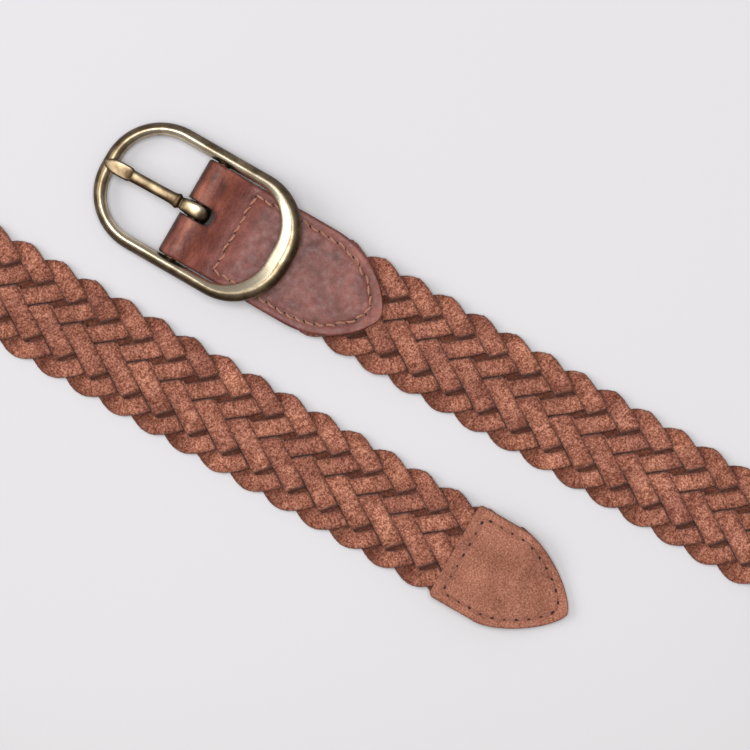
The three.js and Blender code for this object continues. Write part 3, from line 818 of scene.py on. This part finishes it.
def cut_slot(obj):
    """Cuts the prong's slot, with rounded ends, through the fold; it is shorter in the back layer."""
    radius = SLOT_WIDTH / 2
    start = -12.0  # well outside the fold
    for end, bottom, top in ((SLOT_END, 3.0, 20.0), (SLOT_END_BELOW, -5.0, 3.2)):
        turn = np.linspace(0, math.pi, 25)
        rounded = [(end - radius + radius * math.sin(a), -radius * math.cos(a)) for a in turn]
        around = [(start, -radius), *rounded, (start, radius)]
        points = [(x, y, z) for z in (bottom, top) for x, y in around]
        cutter = add_mesh("slot_cutter", ORIGIN + np.array(points), loft_faces(2, len(around)), HOLE)
        face_outwards(cutter)
        modifier = obj.modifiers.new("slot", "BOOLEAN")
        modifier.operation = "DIFFERENCE"
        modifier.object = cutter
        modifier.solver = "EXACT"
        bpy.context.view_layer.objects.active = obj
        obj.select_set(True)
        bpy.ops.object.modifier_apply(modifier=modifier.name)
        obj.select_set(False)
        bpy.data.objects.remove(cutter)


def add_chape_stitching():
    def face(x):
        return float(chape_front(x)) + CHAPE_THICKNESS / 2 - SEAM_DEPTH

    threads = add_stitches("chape_stitches", CHAPE_HOLES, face, 0.0, THREAD,
                           radius=0.40, proud=0.42, wobble=0.6)
    piece(threads, "strap", "sewing_thread", "chape_thread")
    holes = add_holes("chape_needle_holes", CHAPE_HOLES, lambda x: face(x) + 0.08, 0.0, 0.55)
    piece(holes, "strap", "chape_leather")


# ---------- the tip ----------

TIP_THICKNESS = 1.4
TIP_SHOULDER = TIP_END_X - 25.4
TIP_ROUNDING = (1.42, 0.7)
TIP_CORNER = 1.8  # radius of the corners at the straight edge
TIP_EDGE = TIP_END_X - TIP_LENGTH  # the straight edge
TIP_HOLES, TIP_SEAM = stitch_path(
    TIP_EDGE + 3.6, TIP_SHOULDER, TIP_END_X, width=TIP_WIDTH,
    rounding=TIP_ROUNDING, inset=3.2, point_inset=3.9, stitch=4.1)


def tip_front(x):
    """Height of the middle of the front leather: over the braid, then down onto the back leather."""
    open_middle = 6.1
    closed_middle = 1.5 * TIP_THICKNESS + 0.25
    closes = smoothstep(TIP_END_X - BRAID_END_BEFORE_TIP, TIP_END_X - 5, x)
    return open_middle + (closed_middle - open_middle) * closes


def add_tip():
    """Two pieces of suede, one on each side of the braid, and the stitches through both."""
    corner = TIP_EDGE + TIP_CORNER * (1 - np.cos(np.linspace(0, 1.5, 8)[:-1]))
    sides = np.linspace(TIP_EDGE + TIP_CORNER, TIP_SHOULDER, 24)
    flat = np.concatenate([corner, sides, towards_point(TIP_SHOULDER, TIP_END_X, 40)])

    def layer(front):
        rows = []
        for i, x in enumerate(flat):
            share = (x - TIP_SHOULDER) / (TIP_END_X - TIP_SHOULDER)
            half = max(float(narrowed_half(TIP_WIDTH, share, TIP_ROUNDING)), LEAST_HALF_WIDTH)
            from_corner = max(0.0, TIP_CORNER - (x - TIP_EDGE))
            half -= TIP_CORNER - math.sqrt(TIP_CORNER ** 2 - from_corner ** 2)
            thin = nose_thinning(x, TIP_END_X, TIP_THICKNESS) * (0.55 if i == 0 else 1.0)
            if front:
                rows.append(front_station(x, tip_front, half, thin))
            else:
                rows.append((x, TIP_THICKNESS / 2, 0.0, 1.0, half, thin))
        return rows

    def dent(x, y, nz):
        groove = 0.35 * np.exp(-(distance_to(TIP_SEAM, x, y) / 0.8) ** 2)
        swell = 0.12 * noise_values(np.stack([x, y, 0 * x], axis=-1), 6.0, 9.0)
        return groove - swell

    def shade(x, y, half, nz, height):
        # painted shade in the seam groove; also darker along the edges
        edge = smoothstep(half - 0.8, half - 0.1, np.abs(y))
        seam = 0.4 * np.exp(-(distance_to(TIP_SEAM, x, y) / 0.5) ** 2)
        return 1 - np.clip(0.55 * edge + seam, 0, 0.85)

    def no_dent(x, y, nz):
        return 0 * y

    def face(x):
        return float(tip_front(x)) + TIP_THICKNESS / 2 - SEAM_DEPTH

    front = leather_sheet("tip_front_leather", layer(True), TIP_THICKNESS, TIP_Y, dent, TIP_SUEDE,
                          {"shade": shade})
    back = leather_sheet("tip_back_leather", layer(False), TIP_THICKNESS, TIP_Y, no_dent, TIP_SUEDE,
                         {"shade": shade})
    piece(front, "strap", "tip_leather", "tip_front")
    piece(back, "strap", "tip_leather", "tip_back")
    threads = add_stitches("tip_stitches", TIP_HOLES, face, TIP_Y, TIP_THREAD,
                           radius=0.26, proud=0.1, wobble=0.35)
    piece(threads, "strap", "sewing_thread", "tip_thread")
    holes = add_holes("tip_needle_holes", TIP_HOLES, lambda x: face(x) + 0.1, TIP_Y, 0.62)
    piece(holes, "strap", "tip_leather")


# ---------- the buckle ----------

FRAME_TILT = math.radians(7.0)  # the frame's free end rests on the leather
FRAME_ARCH = 0.002  # its ends curve up, per mm squared
FRAME_OUTER = (36.6, 22.85, 21.0, 0.1)  # half length, half width, corner radius, middle
FRAME_INNER = (30.0, 18.15, 15.0, -1.3)
FRAME_BELOW_BAR = 0.3  # its back face lies this far below the bar's axis
PRONG_LOOP_INNER = 2.55
PRONG_LOOP_OUTER = 4.65
PRONG_LOOP_HALF_WIDTH = 2.65
PRONG_YAW = math.radians(1.2)


def tilted(points, tilt):
    """Points given from the bar's middle, turned about the bar and moved to it."""
    x, y, z = points[..., 0], points[..., 1], points[..., 2]
    turned_x = x * math.cos(tilt) - z * math.sin(tilt)
    turned_z = x * math.sin(tilt) + z * math.cos(tilt)
    return BAR + np.stack([turned_x, y, turned_z], axis=-1)


def outline(shape, corner_steps=30, side_steps=14):
    """Points of a rounded rectangle, counter-clockwise from its right end, from the bar's middle."""
    half_length, half_width, radius, middle = shape
    reach_x, reach_y = half_length - radius, half_width - radius
    points = []
    for quarter, (sign_x, sign_y) in enumerate(((1, 1), (-1, 1), (-1, -1), (1, -1))):
        for i in range(corner_steps + 1):
            angle = (quarter + i / corner_steps) * math.pi / 2
            x = sign_x * reach_x + radius * math.cos(angle)
            y = sign_y * reach_y + radius * math.sin(angle)
            points.append((x, y))
        if quarter % 2 == 0:
            for i in range(1, side_steps):
                points.append((sign_x * reach_x * (1 - 2 * i / side_steps), sign_y * half_width))
    return np.array(points) + [middle - BAR_X, 0]


# the frame band's section on its plain sides and at its broad end: rows of the share of the way
# from the inner to the outer edge, the height and how bright the brass is, from wear and partly a painted
# reflection
SIDE_SECTION = np.array([
    (0.14, 0.0, 0.0), (0.03, 0.4, 0.1), (0.0, 1.1, 0.4), (0.04, 2.1, 0.65), (0.12, 3.0, 0.9),
    (0.24, 3.6, 0.95), (0.37, 3.9, 0.85), (0.5, 3.95, 0.7), (0.63, 3.75, 0.55), (0.75, 3.3, 0.35),
    (0.86, 2.6, 0.2), (0.94, 1.9, 0.15), (1.0, 1.1, 0.2), (0.97, 0.4, 0.1), (0.88, 0.0, 0.0),
])
BROAD_SECTION = np.array([
    (0.1, 0.0, 0.0), (0.02, 0.5, 0.1), (0.0, 2.0, 0.3), (0.02, 2.85, 1.0), (0.16, 3.2, 1.05),
    (0.34, 3.6, 1.05), (0.47, 3.87, 1.0), (0.55, 3.95, 0.6), (0.63, 3.85, 0.5), (0.74, 3.5, 0.45),
    (0.85, 2.85, 0.2), (0.93, 2.1, 0.1), (1.0, 1.2, 0.35), (0.97, 0.4, 0.1), (0.88, 0.0, 0.0),
])


def add_frame():
    rings, wear_and_highlight = [], []
    for inner, outer in zip(outline(FRAME_INNER), outline(FRAME_OUTER)):
        broad = float(smoothstep(8.0, 28.0, inner[0]))
        plain_end = float(smoothstep(-20.0, -34.0, inner[0]))
        section = SIDE_SECTION + (BROAD_SECTION - SIDE_SECTION) * broad
        flat = inner + (outer - inner) * section[:, :1]
        height = section[:, 1] - FRAME_BELOW_BAR + FRAME_ARCH * flat[:, 0] ** 2
        rings.append(np.column_stack([flat, height]))
        # painted shade: the plain end's band is drawn darker, apart from its inner edge
        wear_and_highlight.append(section[:, 2] * (1 - 0.45 * plain_end * (section[:, 0] > 0.08)))
    points = tilted(np.array(rings), FRAME_TILT)
    faces = loft_faces(len(rings), points.shape[1], closed=True)
    obj = add_mesh("buckle_ring", points.reshape(-1, 3), faces, BRASS, {"wear_and_highlight": np.array(wear_and_highlight).ravel()})
    smooth(obj, 1, 1)
    piece(obj, "buckle", "antique_brass", "buckle_frame")


def turned_piece(name, profile, sides=32):
    """A round piece along Y from rows of (y, radius), about the bar's axis."""
    angles = 2 * math.pi * np.arange(sides) / sides
    rings = []
    for y, radius in profile:
        ring = [radius * np.cos(angles), np.full(sides, y), radius * np.sin(angles)]
        rings.append(np.stack(ring, axis=-1))
    points = tilted(np.array(rings), FRAME_TILT).reshape(-1, 3)
    wear_and_highlight = np.full(len(points), 0.1)
    return add_mesh(name, points, loft_faces(len(profile), sides), BRASS, {"wear_and_highlight": wear_and_highlight})


def add_bar_and_lugs():
    half = (bar_high[1] - bar_low[1]) / 2
    body = [(y, BAR_RADIUS) for y in (-half + 0.4, -17.0, 0.0, 17.0, half - 0.4)]
    profile = [(-half, 1.7), *body, (half, 1.7)]
    piece(turned_piece("centre_bar_pin", profile), "buckle", "antique_brass", "centre_bar")
    for side, label in ((-1, "right"), (1, "left")):
        rows = [(18.3, 2.5), (18.35, 2.7), (18.6, 2.9), (21.2, 2.9), (21.7, 2.6), (21.7, 0.4)]
        lug = turned_piece(f"bar_lug_{label}", [(side * y, r) for y, r in rows])
        piece(lug, "buckle", "antique_brass")


def yawed(points):
    """The prong stands slightly askew on the bar."""
    cos, sin = math.cos(PRONG_YAW), math.sin(PRONG_YAW)
    x, y, z = points[..., 0], points[..., 1], points[..., 2]
    return np.stack([x * cos - y * sin, x * sin + y * cos, z], axis=-1)


def add_prong():
    """Strip looped round the bar, shaft, dark collar groove and a flattened spear tip."""
    # rows: distance from the bar, underside, half width, thickness, flatness of the top, how worn and
    # bright (partly painted highlight)
    rows = [
        (3.6, 0.9, 2.0, 1.9, 0.4, 0.25), (2.6, 2.0, 2.4, 2.0, 0.4, 0.5), (1.2, 2.7, 2.65, 2.05, 0.4, 0.8),
        (-1.0, 2.9, 2.6, 2.1, 0.4, 0.95), (-3.4, 2.85, 2.4, 2.0, 0.4, 0.85),
        (-5.0, 2.75, 2.3, 2.0, 0.4, 0.5), (-5.7, 2.75, 2.0, 1.5, 0.4, 0.05),
        (-6.3, 2.7, 2.0, 1.4, 0.4, 0.0), (-6.7, 2.55, 2.65, 2.3, 0.4, 0.1),
        (-7.4, 2.55, 2.7, 2.45, 0.4, 0.15), (-8.0, 2.6, 2.35, 2.3, 0.3, 0.3),
        (-9.0, 2.65, 2.05, 2.15, 0.1, 0.5), (-16.0, 2.6, 2.05, 2.15, 0.1, 0.65),
        (-24.4, 2.55, 2.05, 2.15, 0.1, 0.7), (-24.9, 2.55, 2.1, 2.1, 0.3, 0.2),
        (-25.2, 2.5, 2.45, 1.75, 0.75, 0.4), (-26.5, 2.5, 2.55, 1.7, 0.75, 0.75),
        (-29.5, 2.5, 2.6, 1.65, 0.7, 0.8), (-32.0, 2.5, 2.35, 1.55, 0.6, 0.85),
        (-33.8, 2.5, 1.75, 1.35, 0.5, 0.7), (-34.8, 2.55, 1.0, 1.1, 0.4, 0.5),
        (-35.2, 2.7, 0.35, 0.7, 0.4, 0.35),
    ]
    sides = 28
    rings, wear_and_highlight = [], []
    for x, bottom, half, thickness, flat, worn_and_lit in rows:
        ring = []
        for angle in np.linspace(0, 2 * math.pi, sides + 1)[:-1]:
            y = math.copysign(abs(math.cos(angle)) ** (0.9 - 0.45 * flat), math.cos(angle))
            z = math.copysign(abs(math.sin(angle)) ** (0.9 - 0.5 * flat), math.sin(angle))
            dish = max(0.0, flat - 0.5) * max(0.0, 1 - (y / 0.75) ** 2) * (z > 0)
            ring.append((x, half * y, bottom + thickness * (0.5 + 0.5 * z) - 0.9 * dish))
            # brighter on top, and one side painted lighter as a painted highlight
            brighter_on_top = 0.2 + 0.8 * max(z, 0)
            painted_lit_side = 1 + (0.85 * y if flat < 0.5 else 0.15 * y)
            wear_and_highlight.append(0.62 * worn_and_lit * brighter_on_top * (1 - 3.0 * dish) * painted_lit_side)
        rings.append(ring)
    points = BAR + yawed(np.array(rings))
    faces = loft_faces(len(rows), sides)
    shaft = add_mesh("prong_shaft", points.reshape(-1, 3), faces, BRASS, {"wear_and_highlight": wear_and_highlight})
    smooth(shaft, 1, 2)
    piece(shaft, "prong", "antique_brass", "prong")

    half = PRONG_LOOP_HALF_WIDTH
    crown = [(PRONG_LOOP_OUTER - abs(y) ** 2.6, half * y) for y in np.linspace(1, -1, 11)]
    section = [(PRONG_LOOP_INNER, -half), (PRONG_LOOP_INNER, half), *crown]
    rings = []
    for angle in np.linspace(math.radians(70), math.radians(-235), 40):
        rings.append([(r * math.cos(angle), y, r * math.sin(angle)) for r, y in section])
    points = (BAR + np.array(rings)).reshape(-1, 3)
    faces = loft_faces(len(rings), len(section))
    loop = add_mesh("prong_loop", points, faces, BRASS, {"wear_and_highlight": np.full(len(points), 0.3)})
    piece(loop, "prong", "antique_brass")


# ---------- floor, light and camera ----------

VIEW_MIDDLE = np.array([78.8, -17.65, 4.0])
VIEW_WIDTH = 252.4
CAMERA_DISTANCE = 1400.0
CAMERA_ROLL = 30.0  # degrees between the strap and the view's lower edge
SENSOR_WIDTH = 36
FLOOR_REACH = 3000
FLOOR_HEIGHT = -0.05


def add_stage():
    nodes = Nodes("studio_floor")
    tint = nodes.ramp(nodes.noise(400.0, 1), (0.3, (0.640, 0.630, 0.645)), (0.7, (0.646, 0.636, 0.651)))
    nodes.link(tint, nodes.shader.inputs["Base Color"])
    nodes.set(Roughness=0.9, Specular_IOR_Level=0.1)
    signs = ((-1, -1), (1, -1), (1, 1), (-1, 1))
    corners = [(x * FLOOR_REACH, y * FLOOR_REACH, FLOOR_HEIGHT) for x, y in signs]
    add_mesh("studio_floor", corners, [(0, 1, 2, 3)], nodes.material)

    world = bpy.data.worlds.new("studio")
    bpy.context.scene.world = world
    world.use_nodes = True
    background = world.node_tree.nodes["Background"]
    background.inputs["Color"].default_value = (1.0, 0.99, 1.0, 1)
    background.inputs["Strength"].default_value = 0.33

    for name, place, size, power in (
        ("softbox_top", (-0.1, 0.15, 2.4), 1.2, 43.0),
        ("softbox_side", (-2.2, -0.6, 1.9), 1.7, 36.0),
    ):
        data = bpy.data.lights.new(name, "AREA")
        data.size = size
        data.energy = power
        light = bpy.data.objects.new(name, data)
        light.location = place
        aim = np.array([0.0, 0.05, 0.0]) - np.array(place)
        light.rotation_euler = Vector(aim).to_track_quat("-Z", "Y").to_euler()
        bpy.context.scene.collection.objects.link(light)


def add_camera():
    data = bpy.data.cameras.new("photo_camera")
    data.sensor_width = SENSOR_WIDTH
    data.lens = SENSOR_WIDTH * CAMERA_DISTANCE / VIEW_WIDTH
    data.clip_start = 0.01
    data.clip_end = 20
    camera = bpy.data.objects.new("photo_camera", data)
    place = (ORIGIN + VIEW_MIDDLE) * MM
    camera.location = (place[0], place[1], place[2] + CAMERA_DISTANCE * MM)
    camera.rotation_euler = (0, 0, math.radians(CAMERA_ROLL))
    bpy.context.scene.collection.objects.link(camera)
    bpy.context.scene.camera = camera


bpy.context.scene.view_settings.view_transform = "Standard"
add_camera()
add_stage()
for lace in range(LACES):
    add_lace(lace)
add_chape()
add_chape_stitching()
add_tip()
add_frame()
add_bar_and_lugs()
add_prong()
